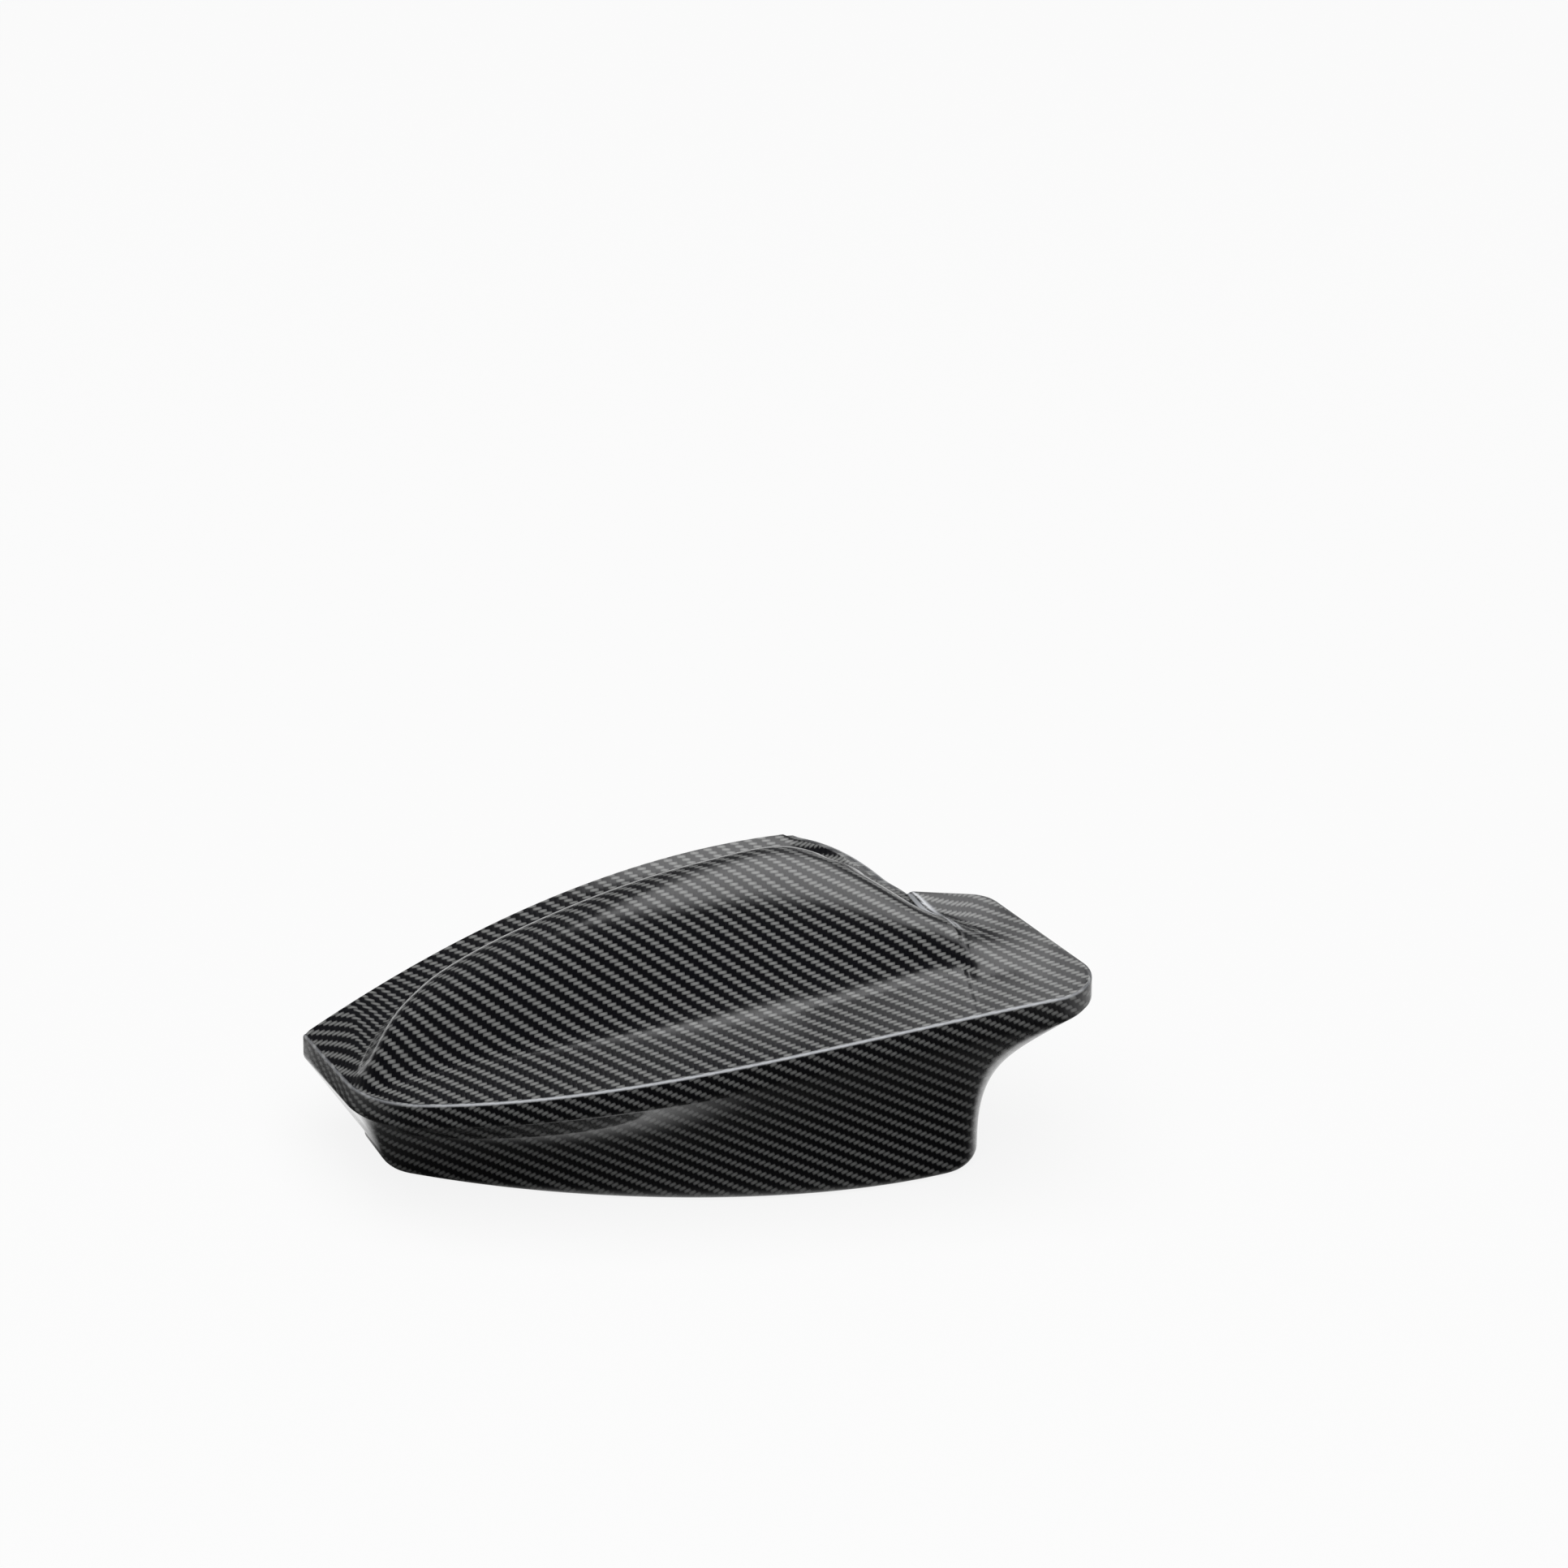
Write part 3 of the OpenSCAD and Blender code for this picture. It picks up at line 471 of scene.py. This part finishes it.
def wall_cloth(s, row, p):
    """Cloth place on a wall: laid flat to the front on the long side, wrapped round at the ends."""
    station_count, mid_row = 400, 6
    stations = np.linspace(0, run_root, station_count)
    path = wall_at(stations, mid_row, 0)
    steps = np.diff(path[:, :2], axis=0)
    mid_share = end_share((stations[1:] + stations[:-1]) / 2)
    extra = np.linalg.norm(steps, axis=1) * mid_share - steps[:, 0] * mid_share
    extra = np.concatenate([[0], np.cumsum(extra)])
    extra -= np.interp(lerp(run_out, run_horn, 0.5), stations, extra)
    u = p[..., 0] + np.interp(s, stations, extra)
    stop_y = wall_at(np.where(s < run_split, run_out, run_horn), row, 0)[..., 1]
    y = lerp(p[..., 1], stop_y, end_share(s))
    v = y * math.sin(VIEW_TILT) + p[..., 2] * math.cos(VIEW_TILT)
    turn = np.linalg.inv(np.stack([wall_tow_a, wall_tow_b], 1))
    return np.stack([u, v], -1) @ turn.T


def shape_of(columns, rows):
    """Shares across and down a grid of a patch."""
    return np.meshgrid(np.linspace(0, 1, columns + 1), np.linspace(0, 1, rows + 1))


def lay_patch(columns, rows, place, cloth, painted_highlight=None):
    """Adds one grid to the shell: place gives its points, cloth the tows at them, and painted_highlight how
    much of the painted highlight colour is laid there."""
    u, v = shape_of(columns, rows)
    points = place(u, v)
    tows = cloth(u, v, points)
    # clear is the share of painted highlight at each point.
    clear = painted_highlight(u, v) if painted_highlight else np.zeros_like(u)
    made = bmesh.ops.create_grid(bm, x_segments=columns, y_segments=rows, size=1)["verts"]
    for vert in made:
        i, j = round((vert.co.x + 1) / 2 * columns), round((vert.co.y + 1) / 2 * rows)
        vert.co = (points[j, i] + shift) * MM * inset
        vert[painted_highlight_layer] = clear[j, i]
        for loop in vert.link_loops:
            loop[cloth_layer].uv = tows[j, i]


def wall_run(u):
    """Run along the blade for the wall's columns, with columns where the face has them."""
    return np.interp(u * wall_columns, wall_marks, wall_runs)


body_columns, horn_columns, step_columns = 132, 36, 6
face_rows, rows_down, lip_rows = 80, 44, 8
step_rows = face_rows * (FACE_ROWS - NOTCH_ROW) // FACE_ROWS
wall_marks = np.cumsum([0, face_rows, body_columns, step_columns, horn_columns, step_rows,
                        horn_columns, step_columns, face_rows - step_rows])
wall_columns = int(wall_marks[-1])
wall_runs = [0, run_out, run_split, run_split + step_w, run_horn, run_heel, run_notch, run_side, run_root]
# The mesh rows down the wall, and the places on it where they stand: closer where it bends.
row_marks = np.array([0, 4, 9, 10, 34, rows_down])
row_places = np.array([0, 2, 2.9, 3.12, 10, 13])
shift = np.zeros(3)
shell_mesh = bpy.data.meshes.new("carbon_laminate")
bm = bmesh.new()
cloth_layer = bm.loops.layers.uv.new("cloth")
# Each point's share of painted highlight, which the carbon material lays over the weave in a pale
# grey-blue.
painted_highlight_layer = bm.verts.layers.float.new("painted_highlight")
lip_u, lip_v = shape_of(body_columns, lip_rows)
outline = np.vstack([wall_at(np.linspace(0, run_root, 2000), 2, 0),
                     lip_point(lip_u, lip_v * 2, 0).reshape(-1, 3)])
shift[:2] = -(outline[:, :2].max(0) + outline[:, :2].min(0)) / 2


def wall_row(v):
    return np.interp(v * rows_down, row_marks, row_places)


def painted_edge_highlight(s, row):
    """A painted highlight line runs round the middle of the blade's rounded edge, fainter at both ends."""
    top_row, low_row, row_ease, horn_fade, horn_ease, out_left, out_ease = 0.3, 1.7, 2.5, 0.6, 20, 0.4, 40
    line = smooth((row - top_row) * row_ease) * smooth((low_row - row) * row_ease)
    inboard = 1 - horn_fade * smooth((s - run_horn + horn_ease) / horn_ease)
    outboard = out_left + (1 - out_left) * smooth((s - run_out) / out_ease)
    return line * inboard * outboard


painted_highlight_end_v = (TIP_ROW - NOTCH_ROW) / (FACE_ROWS - NOTCH_ROW) * 0.96


def painted_lens_highlight(u, v):
    """A painted highlight lies along the horn's side of the step, widest half way to the tip."""
    least, most, edge, stop_ease = 0.012, 0.13, 1.4, 12
    share = np.clip(v / painted_highlight_end_v, 0, 1)
    width = least + most * np.sqrt(share * (1 - share))
    return smooth(edge - u / width) * smooth((1 - share) * stop_ease)


def painted_step_highlight(u, v):
    """The face of the step carries a painted highlight from the notch nearly to its tip."""
    ease, margin, stop_ease = 5, 0.6, 14
    across_step = smooth(u * ease - margin) * smooth((1 - u) * ease - margin)
    return across_step * smooth((painted_highlight_end_v - v) * stop_ease)


lip_slack = np.array([0, -6])
weld = 0.02 * MM
for depth, inside in ((0.0, False), (wall_t, True)):
    before = len(bm.faces)
    lay_patch(body_columns, face_rows, lambda u, v: body_points(u, v, depth), lambda u, v, p: face_cloth(p))
    lay_patch(horn_columns, step_rows, lambda u, v: horn_points(u, v, depth), lambda u, v, p: face_cloth(p),
              lambda u, v: (not inside) * painted_lens_highlight(u, v))
    lay_patch(step_columns, step_rows, lambda u, v: step_points(u, v, depth), lambda u, v, p: face_cloth(p),
              lambda u, v: (not inside) * painted_step_highlight(u, v))
    lay_patch(wall_columns, rows_down, lambda u, v: wall_at(wall_run(u), wall_row(v), depth),
              lambda u, v, p: wall_cloth(wall_run(u), wall_row(v), p),
              lambda u, v: (not inside) * painted_edge_highlight(wall_run(u), wall_row(v)))
    lay_patch(body_columns, lip_rows, lambda u, v: lip_point(u, v * 2, depth),
              lambda u, v, p: face_cloth(p) + lip_slack * v[..., None])
    bm.faces.ensure_lookup_table()
    for face in bm.faces[before:]:
        face.material_index = 1 if inside else 0
# The patches are welded along their edges, and the two sheets are joined round the border.
bmesh.ops.remove_doubles(bm, verts=bm.verts[:], dist=weld)
bmesh.ops.bridge_loops(bm, edges=[e for e in bm.edges if e.is_boundary])
bmesh.ops.recalc_face_normals(bm, faces=bm.faces[:])
for face in bm.faces:
    face.smooth = True
bm.to_mesh(shell_mesh)
bm.free()
shell_mesh.set_sharp_from_angle(angle=math.radians(38))
shell = bpy.data.objects.new("carbon_laminate", shell_mesh)
bpy.context.collection.objects.link(shell)
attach(shell, "root")
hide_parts("carbon_shell")


def node_group(name, inputs, outputs):
    group = bpy.data.node_groups.new(name, "ShaderNodeTree")
    for way, sockets in (("INPUT", inputs), ("OUTPUT", outputs)):
        for socket, kind in sockets:
            group.interface.new_socket(socket, in_out=way, socket_type=kind)
    return group, group.nodes.new("NodeGroupInput"), group.nodes.new("NodeGroupOutput")


def plug(tree, sockets, values):
    """Sets each socket to its value, or links it where the value is another node's socket."""
    for socket, value in zip(sockets, values):
        if isinstance(value, (int, float)):
            socket.default_value = value
        elif value is not None:
            tree.links.new(value, socket)


def math_node(tree, kind, a, b=None):
    node = tree.nodes.new("ShaderNodeMath")
    node.operation = kind
    plug(tree, node.inputs, (a, b))
    return node.outputs[0]


def mixed(tree, share, a, b):
    node = tree.nodes.new("ShaderNodeMix")
    plug(tree, (node.inputs[0], node.inputs[2], node.inputs[3]), (share, a, b))
    return node.outputs[0]


def mixed_colour(tree, share, a, b):
    """Mix of two colours, either of which may be a socket."""
    node = tree.nodes.new("ShaderNodeMix")
    node.data_type = "RGBA"
    tree.links.new(share, node.inputs[0])
    for socket, colour in ((node.inputs[6], a), (node.inputs[7], b)):
        if isinstance(colour, tuple):
            socket.default_value = (*colour, 1)
        else:
            tree.links.new(colour, socket)
    return node.outputs[2]


# 2 x 2 twill: over two tows and under two, one tow further on in each row. Top is 1 where the tows
# that run inboard are on top, Crown is the roundness of the tow there, and Strand its fibres.
twill, twill_in, twill_out = node_group(
    "twill_weave", [("Place", "NodeSocketVector")],
    [("Top", "NodeSocketFloat"), ("Crown", "NodeSocketFloat"), ("Strand", "NodeSocketFloat")])
split = twill.nodes.new("ShaderNodeSeparateXYZ")
twill.links.new(twill_in.outputs["Place"], split.inputs[0])
i_cell, j_cell = [math_node(twill, "FLOOR", split.outputs[c]) for c in (0, 1)]
i_part, j_part = [math_node(twill, "FRACT", split.outputs[c]) for c in (0, 1)]
phase = math_node(twill, "FLOORED_MODULO", math_node(twill, "SUBTRACT", i_cell, j_cell), 4)
top = math_node(twill, "LESS_THAN", phase, 1.5)
top_run = math_node(twill, "MULTIPLY", math_node(twill, "ADD", phase, i_part), 0.5)
low_phase = math_node(twill, "SUBTRACT", 3, phase)
low_run = math_node(twill, "MULTIPLY", math_node(twill, "ADD", low_phase, j_part), 0.5)
run_part = mixed(twill, top, low_run, top_run)
cross_part = mixed(twill, top, i_part, j_part)
run_arch = math_node(twill, "SINE", math_node(twill, "MULTIPLY", run_part, math.pi))
cross_arch = math_node(twill, "SINE", math_node(twill, "MULTIPLY", cross_part, math.pi))
run_power, cross_power = 0.5, 0.6
crown = math_node(twill, "MULTIPLY", math_node(twill, "POWER", run_arch, run_power),
                  math_node(twill, "POWER", cross_arch, cross_power))
# The fibres are noise drawn out along the tow that is on top.
fine, drawn_out = 9, 0.6
strands = twill.nodes.new("ShaderNodeTexNoise")
strands.noise_dimensions = "2D"
strands.inputs["Scale"].default_value = 1.0
strands.inputs["Detail"].default_value = 1.0
strand_place = twill.nodes.new("ShaderNodeCombineXYZ")
for axis, scales in enumerate(((fine, drawn_out), (drawn_out, fine))):
    low_and_top = [math_node(twill, "MULTIPLY", split.outputs[axis], scale) for scale in scales]
    twill.links.new(mixed(twill, top, *low_and_top), strand_place.inputs[axis])
twill.links.new(strand_place.outputs[0], strands.inputs["Vector"])
twill.links.new(top, twill_out.inputs["Top"])
twill.links.new(crown, twill_out.inputs["Crown"])
twill.links.new(strands.outputs["Fac"], twill_out.inputs["Strand"])


def bumped(tree, height, strength, distance):
    bump = tree.nodes.new("ShaderNodeBump")
    bump.inputs["Strength"].default_value = strength
    bump.inputs["Distance"].default_value = distance
    tree.links.new(height, bump.inputs["Height"])
    tree.links.new(bump.outputs[0], tree.nodes["Principled BSDF"].inputs["Normal"])


def carbon(name, light, dark, roughness, coat):
    """Twill carbon laminate: a painted sheen on the tows that run inboard and dark on the others, the
    painted highlights on its edge and step, and the lacquer's coat.
    """
    material = bpy.data.materials.new(name)
    material.use_nodes = True
    tree = material.node_tree
    shader = tree.nodes["Principled BSDF"]
    place = tree.nodes.new("ShaderNodeUVMap")
    place.uv_map = "cloth"
    weave = tree.nodes.new("ShaderNodeGroup")
    weave.node_tree = twill
    tree.links.new(place.outputs[0], weave.inputs["Place"])
    # The pale grey-blue is the colour of the painted highlights on the blade edge and the step.
    strand_share, strand_least, painted_highlight_colour = 0.5, 0.75, (0.8, 0.82, 0.86)
    # The tows that run inboard are lightened towards the light colour by a painted sheen, brightest on each
    # tow's crown and streaked by its fibres; the others keep the dark colour.
    strand = math_node(tree, "MULTIPLY", weave.outputs["Strand"], strand_share)
    painted_sheen = math_node(tree, "MULTIPLY", weave.outputs["Crown"], math_node(tree, "ADD", strand, strand_least))
    weave_with_sheen = mixed_colour(tree, math_node(tree, "MULTIPLY", weave.outputs["Top"], painted_sheen), dark, light)
    painted_highlight = tree.nodes.new("ShaderNodeAttribute")
    painted_highlight.attribute_name = "painted_highlight"
    highlighted_weave = mixed_colour(tree, painted_highlight.outputs["Fac"], weave_with_sheen, painted_highlight_colour)
    tree.links.new(highlighted_weave, shader.inputs["Base Color"])
    bumped(tree, weave.outputs["Crown"], 0.5, 0.15 * MM)
    shader.inputs["Roughness"].default_value = roughness
    shader.inputs["Specular IOR Level"].default_value = 0.15
    shader.inputs["Coat Weight"].default_value = coat
    shader.inputs["Coat Roughness"].default_value = 0.04
    shader.inputs["Coat IOR"].default_value = 1.4
    return material


# Each look gives the light colour of the painted sheen on the twill, the dark colour of the fibre, then
# roughness and coat.
for twill_look in (("lacquered_twill", (0.29, 0.293, 0.288), (0.0025, 0.0025, 0.004), 0.5, 1.0),
                   ("bare_twill", (0.10, 0.10, 0.095), (0.006, 0.006, 0.007), 0.6, 0.2)):
    shell_mesh.materials.append(carbon(*twill_look))


# The clips.
# Glossy black moulded plastic, bonded inside the side wall and the rear skirt. Their solids stay as
# they are, and take a plastic with the faint orange peel of a moulding.
def moulded_plastic(name, colour):
    material = bpy.data.materials.new(name)
    material.use_nodes = True
    tree = material.node_tree
    shader = tree.nodes["Principled BSDF"]
    place = tree.nodes.new("ShaderNodeTexCoord")
    peel = tree.nodes.new("ShaderNodeTexNoise")
    peel.inputs["Scale"].default_value = 900
    tree.links.new(place.outputs["Object"], peel.inputs["Vector"])
    darker, lighter = [tuple(c * share for c in colour) for share in (0.8, 1.2)]
    tree.links.new(mixed_colour(tree, peel.outputs["Fac"], darker, lighter), shader.inputs["Base Color"])
    bumped(tree, peel.outputs["Fac"], 0.15, 0.1 * MM)
    shader.inputs["Roughness"].default_value = 0.2
    return material


clip_plastic = moulded_plastic("clip_plastic", (0.012, 0.012, 0.014))
for node in ("side_clip", "retaining_clips"):
    clip_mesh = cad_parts[node].data
    clip_mesh.materials.clear()
    clip_mesh.materials.append(clip_plastic)


# The studio.
# A floor and a world that the camera sees as white but that light the cover less. The lacquer reflects
# a dim dome with a bright band behind the cover, and a low soft box. A fill overhead lights the twill.
def stage_piece(name, mesh_made, material):
    mesh = bpy.data.meshes.new(name)
    mesh_made.to_mesh(mesh)
    mesh_made.free()
    mesh.materials.append(material)
    obj = bpy.data.objects.new(name, mesh)
    bpy.context.collection.objects.link(obj)
    return obj


def ramp_node(tree, value, low, high, low_out, high_out):
    node = tree.nodes.new("ShaderNodeMapRange")
    node.interpolation_type = "SMOOTHSTEP"
    plug(tree, node.inputs[:5], (value, low, high, low_out, high_out))
    return node.outputs[0]


def placed(tree):
    """X, Y and Z of the place on a stage piece."""
    place = tree.nodes.new("ShaderNodeTexCoord")
    parts = tree.nodes.new("ShaderNodeSeparateXYZ")
    tree.links.new(place.outputs["Object"], parts.inputs[0])
    return parts.outputs


def glowing(name):
    """A material with nothing in it yet but its output, whose glow isn't sampled as a lamp."""
    material = bpy.data.materials.new(name)
    material.use_nodes = True
    material.cycles.emission_sampling = "NONE"
    tree = material.node_tree
    tree.nodes.remove(tree.nodes["Principled BSDF"])
    return material, tree, tree.nodes.new("ShaderNodeEmission")


# The floor: what the lacquer sees of it is dark under the front of the cover, past a bowed line, bright
# behind that line and beside the cover, and dimmer far off.
floor_size, floor_grey, camera_grey, camera_glow = 8, (0.38, 0.38, 0.38), (0.95, 0.95, 0.95), 0.88
line_bow, line_near, line_far, dark_glow, bright_glow = 3.0, -0.051, -0.036, 0.03, 0.9
floor_paint, tree, glow = glowing("floor_paint")
shader = tree.nodes.new("ShaderNodeBsdfDiffuse")
path = tree.nodes.new("ShaderNodeLightPath")
seen = path.outputs["Is Camera Ray"]
tree.links.new(mixed_colour(tree, seen, floor_grey, camera_grey), shader.inputs["Color"])
x, y, z = placed(tree)
bowed = math_node(tree, "MULTIPLY", math_node(tree, "MULTIPLY", x, x), line_bow)
front = ramp_node(tree, math_node(tree, "SUBTRACT", y, bowed), line_near, line_far, dark_glow, bright_glow)
far_off_glow = ramp_node(tree, x, 0.0, 0.4, 0.1, 0.7)
front = math_node(tree, "MULTIPLY", front, ramp_node(tree, y, 0.1, 0.5, 1.0, far_off_glow))
beside_glow = ramp_node(tree, y, 0.1, 0.4, 0.85, 0.1)
beside = ramp_node(tree, math_node(tree, "ABSOLUTE", x), 0.13, 0.22, 0.0, beside_glow)
tree.links.new(mixed(tree, seen, math_node(tree, "MAXIMUM", front, beside), 1.0), glow.inputs["Strength"])
share = tree.nodes.new("ShaderNodeMixShader")
tree.links.new(math_node(tree, "ADD", math_node(tree, "MULTIPLY", seen, camera_glow),
                         path.outputs["Is Glossy Ray"]), share.inputs[0])
tree.links.new(shader.outputs[0], share.inputs[1])
tree.links.new(glow.outputs[0], share.inputs[2])
tree.links.new(share.outputs[0], tree.nodes["Material Output"].inputs["Surface"])
bm = bmesh.new()
bmesh.ops.create_grid(bm, x_segments=1, y_segments=1, size=floor_size)
stage_piece("floor", bm, floor_paint)

# The dome: a bright band behind the cover, in shares of the dome's radius. Its left edge leans outboard
# from over_z up and back again from overhead_z up, and its foot comes forward on the outboard side.
dome_r, dome_dim, band_glow = 5.0, 0.05, 3.3
over_z, over_lean, overhead_z, overhead_lean, foot_push = 0.72, 0.8, 0.9, 2.6, 0.9
dome_glow, tree, glow = glowing("dome_glow")
x, y, z = [math_node(tree, "DIVIDE", part, dome_r) for part in placed(tree)]
over = math_node(tree, "MAXIMUM", math_node(tree, "SUBTRACT", z, over_z), 0.0)
leant = math_node(tree, "ADD", x, math_node(tree, "MULTIPLY", over, over_lean))
overhead = math_node(tree, "MAXIMUM", math_node(tree, "SUBTRACT", z, overhead_z), 0.0)
leant = math_node(tree, "SUBTRACT", leant, math_node(tree, "MULTIPLY", overhead, overhead_lean))
left_stop = ramp_node(tree, leant, -0.21, -0.03, 0.0, 1.0)
right_stop = ramp_node(tree, x, 0.3, 0.5, 1.0, 0.0)
pushed = math_node(tree, "MULTIPLY", math_node(tree, "MINIMUM", x, 0.0), foot_push)
behind = ramp_node(tree, math_node(tree, "ADD", y, pushed), -0.15, 0.25, 0.0, band_glow)
behind = math_node(tree, "MULTIPLY", behind, ramp_node(tree, z, 0.2, 0.82, 0.02, 1.0))
band = math_node(tree, "MULTIPLY", math_node(tree, "MULTIPLY", left_stop, right_stop), behind)
tree.links.new(math_node(tree, "ADD", band, dome_dim), glow.inputs["Strength"])
tree.links.new(glow.outputs[0], tree.nodes["Material Output"].inputs["Surface"])
bm = bmesh.new()
bmesh.ops.create_uvsphere(bm, u_segments=48, v_segments=24, radius=dome_r)
dome = stage_piece("dome", bm, dome_glow)
dome.visible_camera = False
dome.visible_diffuse = False
dome.visible_shadow = False

world = bpy.data.worlds.new("studio")
bpy.context.scene.world = world
world.use_nodes = True
tree = world.node_tree
tree.nodes["Background"].inputs["Color"].default_value = (1, 1, 1, 1)
seen = tree.nodes.new("ShaderNodeLightPath").outputs["Is Camera Ray"]
world_dim = 0.05
tree.links.new(mixed(tree, seen, world_dim, 1.0), tree.nodes["Background"].inputs["Strength"])


def soft_box(name, place, size, radiance, reflected):
    """A soft box aimed at the cover, with its brightness given as seen rather than in watts. One that is
    reflected gives the lacquer its highlights, and one that isn't lights the twill."""
    data = bpy.data.lights.new(name, "AREA")
    data.shape = "RECTANGLE"
    data.size, data.size_y = size
    data.energy = radiance * math.pi * size[0] * size[1]
    obj = bpy.data.objects.new(name, data)
    bpy.context.collection.objects.link(obj)
    obj.location = place
    cover_middle = Vector((0, 0, 0.05))
    obj.rotation_euler = (cover_middle - Vector(place)).to_track_quat("-Z", "Y").to_euler()
    obj.visible_glossy = reflected
    obj.visible_diffuse = not reflected
    obj.visible_camera = False


soft_box("front_box", (0.3, -2.0, 0.35), (2.0, 0.3), 2.5, True)
soft_box("fill", (0.0, -0.6, 3.0), (3.0, 3.0), 3.2, False)

# The camera looks down 35.5 degrees on the front, through a long lens, with its axis on the middle of
# the photographed frame.
scene = bpy.context.scene
scene.view_settings.view_transform = "Standard"
camera_data = bpy.data.cameras.new("camera")
camera = bpy.data.objects.new("camera", camera_data)
bpy.context.collection.objects.link(camera)
scene.camera = camera
frame_width, far_off, aim_x, aim_up, sensor = 0.4995, 6.0, 0.0278, 0.1086, 36
look = Vector((0, math.cos(VIEW_TILT), -math.sin(VIEW_TILT)))
lift = Vector((0, math.sin(VIEW_TILT), math.cos(VIEW_TILT)))
aim = Vector((aim_x, 0, 0)) + lift * aim_up
camera.location = aim - look * far_off
camera.rotation_euler = look.to_track_quat("-Z", "Y").to_euler()
camera_data.sensor_width = sensor
camera_data.lens = sensor * far_off / frame_width
camera_data.clip_end = 40
